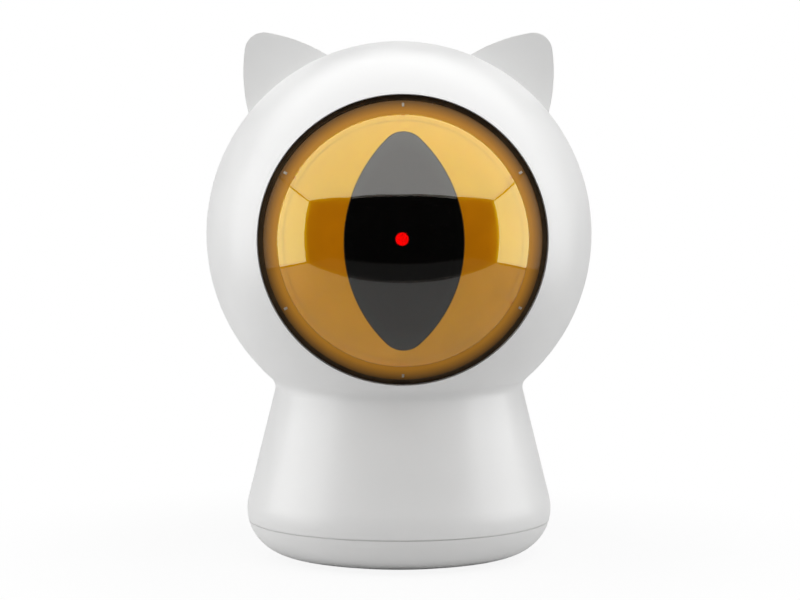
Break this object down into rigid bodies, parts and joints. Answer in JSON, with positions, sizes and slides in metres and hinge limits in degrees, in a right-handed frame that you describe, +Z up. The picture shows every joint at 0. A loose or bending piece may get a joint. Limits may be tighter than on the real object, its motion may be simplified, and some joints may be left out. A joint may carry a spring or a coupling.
{
  "type": "cat laser pointer",
  "caption": "White cat-shaped laser toy: a ball head with ears and an amber eye on a tapered body, with a laser on a pan and tilt drive behind the slit pupil.",
  "frame": {"origin": "centre of the outer box at its lowest level, on the floor under the head", "axes": "+Z up, the eye looks along -Y, +X to the right of a person who faces the eye"},
  "size_m": [0.092, 0.092, 0.1251],
  "materials": {
    "shell_white": "satin gloss white moulding",
    "amber_clear": "clear amber, polished",
    "amber_reflector": "metallised amber",
    "amber_ring": "amber tinted",
    "smoked_window": "smoked, polished",
    "black_rubber": "matt",
    "black_plastic": "fine spark texture",
    "natural_plastic": "matt acetal",
    "grey_plastic": "satin",
    "steel": "plated",
    "brass": "turned",
    "board": "solder resist",
    "cell_jacket": "printed film without marks",
    "spring_metal": "nickel plated",
    "lens_red": "glowing red"
  },
  "bodies": {
    "housing": {"front_shell": "shell_white", "rear_shell": "shell_white", "shell_screws": "steel", "eye_dome": "amber_clear", "eye_gasket": "black_rubber", "iris_cup": "amber_reflector", "iris_carrier": "amber_ring", "pupil_window": "smoked_window", "drive_deck": "natural_plastic", "deck_screws": "steel", "pan_bush": "black_plastic", "pan_motor": "steel", "pan_motor_screws": "steel", "main_board": "board", "board_screws": "steel", "wifi_module": "steel", "driver_chips": "black_plastic", "lead_sockets": "natural_plastic", "tact_switch": "black_plastic", "usb_socket": "steel", "usb_tongue": "black_plastic", "battery_tray": "shell_white", "tray_screws": "steel", "battery_cells": "cell_jacket", "contact_plates": "spring_metal", "contact_springs": "spring_metal"},
    "cover": {"base_cover": "shell_white", "foot_ring": "black_rubber"},
    "button": {"power_button": "grey_plastic", "switch_plunger": "steel"},
    "pan_motor_drive": {"pan_motor_shaft": "steel", "pan_pinion": "brass"},
    "yoke": {"pan_yoke": "black_plastic", "pan_gear": "natural_plastic", "pan_washer": "steel", "pan_screw": "steel", "tilt_bushes": "brass", "tilt_motor": "steel", "tilt_motor_screws": "steel"},
    "tilt_motor_drive": {"tilt_motor_shaft": "steel", "tilt_pinion": "brass"},
    "laser": {"laser_cradle": "natural_plastic", "cradle_cap": "natural_plastic", "cradle_screws": "steel", "tilt_gear": "natural_plastic", "laser_barrel": "brass", "laser_nose": "black_plastic", "laser_lens": "lens_red", "laser_driver": "board"}
  },
  "joints": [
    {"name": "pan", "type": "hinge", "parent": "housing", "child": "yoke", "pos_m": [0, 0, 0.05], "axis": [0, 0, 1], "range_deg": [-17, 17]},
    {"name": "tilt", "type": "hinge", "parent": "yoke", "child": "laser", "pos_m": [0, 0, 0.077], "axis": [1, 0, 0], "range_deg": [-20, 32]},
    {"name": "pan_pinion_spin", "type": "hinge", "parent": "housing", "child": "pan_motor_drive", "pos_m": [0, 0.017, 0.05], "axis": [0, 0, 1], "range_deg": [-60, 60]},
    {"name": "tilt_pinion_spin", "type": "hinge", "parent": "yoke", "child": "tilt_motor_drive", "pos_m": [-0.01, 0.01061, 0.06639], "axis": [1, 0, 0], "range_deg": [-95, 62]},
    {"name": "button_press", "type": "slide", "parent": "housing", "child": "button", "axis": [0, -1, 0], "range_m": [0, 0.0005], "stiffness_N_per_m": 2000},
    {"name": "cover_turn", "type": "hinge", "parent": "housing", "child": "cover", "pos_m": [0, 0, 0.01], "axis": [0, 0, -1], "range_deg": [0, 30]}
  ],
  "couplings": [
    {"joint": "pan_pinion_spin", "follows": "pan", "ratio": -3.25},
    {"joint": "tilt_pinion_spin", "follows": "tilt", "ratio": -2.75}
  ]
}
